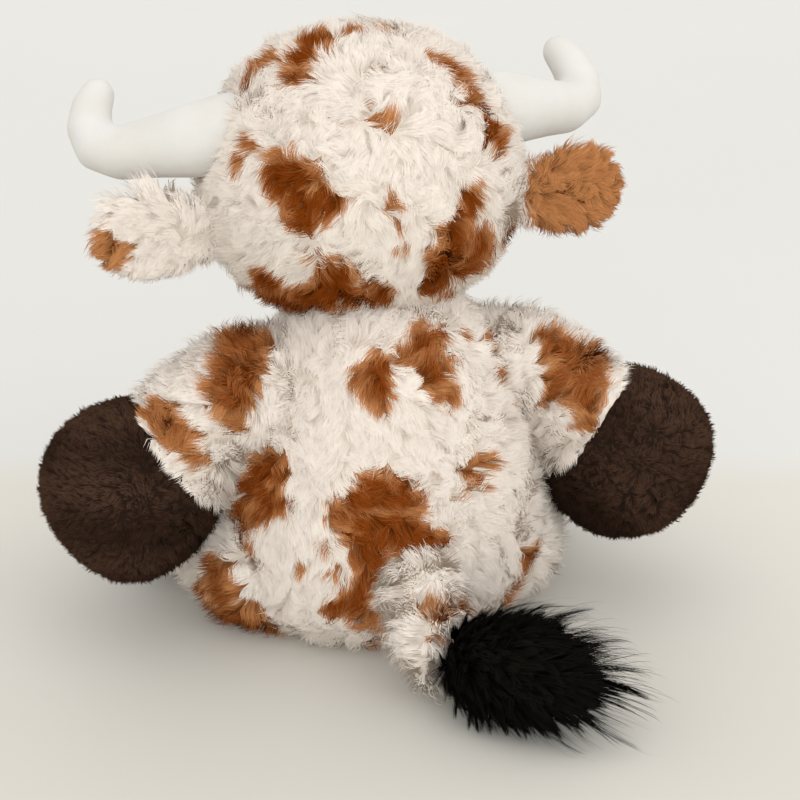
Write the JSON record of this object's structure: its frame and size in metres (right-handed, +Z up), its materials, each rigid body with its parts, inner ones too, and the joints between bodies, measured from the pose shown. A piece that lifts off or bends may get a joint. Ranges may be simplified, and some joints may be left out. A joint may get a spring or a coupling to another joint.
{
  "type": "plush cow",
  "caption": "Seated stuffed toy cow: long-pile plush body, head, arms and legs, round dark hooves, soft curled horns, ears that flop and a tufted tail.",
  "frame": {"origin": "middle of the flat seat, where the toy rests on the table", "axes": "+Z up, -Y the way the toy faces, +X to its own left"},
  "size_m": [0.3172, 0.2659, 0.274],
  "materials": {
    "cream_plush": "long-pile plush, cream with rust-brown spots",
    "hoof_plush": "short-pile plush, dark brown",
    "horn_velour": "smooth off-white velour",
    "muzzle_plush": "short-pile plush, warm beige",
    "black_hair": "long black hair",
    "stuffing": "white polyester fibre",
    "pellet_cloth": "woven bag of plastic pellets",
    "thread": "dark brown thread",
    "eye_plastic": "glossy near-black",
    "washer_plastic": "translucent white, matt"
  },
  "bodies": {
    "torso": {"torso_skin": "cream_plush", "torso_stuffing": "stuffing", "pellet_bag": "pellet_cloth"},
    "neck": {"neck_seam": "thread"},
    "head": {"head_skin": "cream_plush", "head_stuffing": "stuffing", "muzzle_skin": "muzzle_plush", "muzzle_stuffing": "stuffing", "mouth_stitch": "thread", "nostril_left": "thread", "eye_left": "eye_plastic", "eye_washer_left": "washer_plastic", "horn_left": "horn_velour", "horn_stuffing_left": "stuffing", "nostril_right": "thread", "eye_right": "eye_plastic", "eye_washer_right": "washer_plastic", "horn_right": "horn_velour", "horn_stuffing_right": "stuffing"},
    "tail": {"tail_skin": "cream_plush", "tail_stuffing": "stuffing", "tail_tuft": "black_hair"},
    "ear_left": {"ear_back_left": "cream_plush", "ear_lining_left": "muzzle_plush"},
    "arm_left": {"arm_sleeve_left": "cream_plush", "arm_hoof_left": "hoof_plush", "arm_stuffing_left": "stuffing"},
    "leg_left": {"leg_sleeve_left": "cream_plush", "leg_hoof_left": "hoof_plush", "leg_stuffing_left": "stuffing"},
    "ear_right": {"ear_back_right": "cream_plush", "ear_lining_right": "muzzle_plush"},
    "arm_right": {"arm_sleeve_right": "cream_plush", "arm_hoof_right": "hoof_plush", "arm_stuffing_right": "stuffing"},
    "leg_right": {"leg_sleeve_right": "cream_plush", "leg_hoof_right": "hoof_plush", "leg_stuffing_right": "stuffing"}
  },
  "joints": [
    {"name": "head_turn", "type": "hinge", "parent": "torso", "child": "neck", "pos_m": [0, -0.005, 0.109], "axis": [0, 0, 1], "range_deg": [-30, 30], "stiffness_Nm_per_rad": 0.4},
    {"name": "head_nod", "type": "hinge", "parent": "neck", "child": "head", "pos_m": [0, -0.005, 0.109], "axis": [1, 0, 0], "range_deg": [-10, 15], "stiffness_Nm_per_rad": 0.8, "springref_deg": -1.72},
    {"name": "ear_flop_left", "type": "hinge", "parent": "head", "child": "ear_left", "pos_m": [0.08149, -0.013, 0.19048], "axis": [0, 1, 0], "range_deg": [-20, 35], "stiffness_Nm_per_rad": 0.012, "springref_deg": -0.69},
    {"name": "arm_swing_left", "type": "hinge", "parent": "torso", "child": "arm_left", "pos_m": [0.06, -0.005, 0.115], "axis": [1, 0, 0], "range_deg": [-60, 30], "stiffness_Nm_per_rad": 0.15},
    {"name": "leg_lift_left", "type": "hinge", "parent": "torso", "child": "leg_left", "pos_m": [0.054, -0.005, 0.0295], "axis": [-1, 0, 0], "range_deg": [0, 15]},
    {"name": "ear_flop_right", "type": "hinge", "parent": "head", "child": "ear_right", "pos_m": [-0.07284, -0.013, 0.1983], "axis": [0, -1, 0], "range_deg": [-20, 35], "stiffness_Nm_per_rad": 0.012, "springref_deg": -0.69},
    {"name": "arm_swing_right", "type": "hinge", "parent": "torso", "child": "arm_right", "pos_m": [-0.06, -0.005, 0.115], "axis": [1, 0, 0], "range_deg": [-85, 5], "stiffness_Nm_per_rad": 0.15},
    {"name": "leg_lift_right", "type": "hinge", "parent": "torso", "child": "leg_right", "pos_m": [-0.054, -0.005, 0.0295], "axis": [-1, 0, 0], "range_deg": [0, 25]},
    {"name": "tail_swing", "type": "hinge", "parent": "torso", "child": "tail", "pos_m": [0, 0.06319, 0.041], "axis": [0, 0, 1], "range_deg": [-25, 25], "stiffness_Nm_per_rad": 0.05}
  ]
}
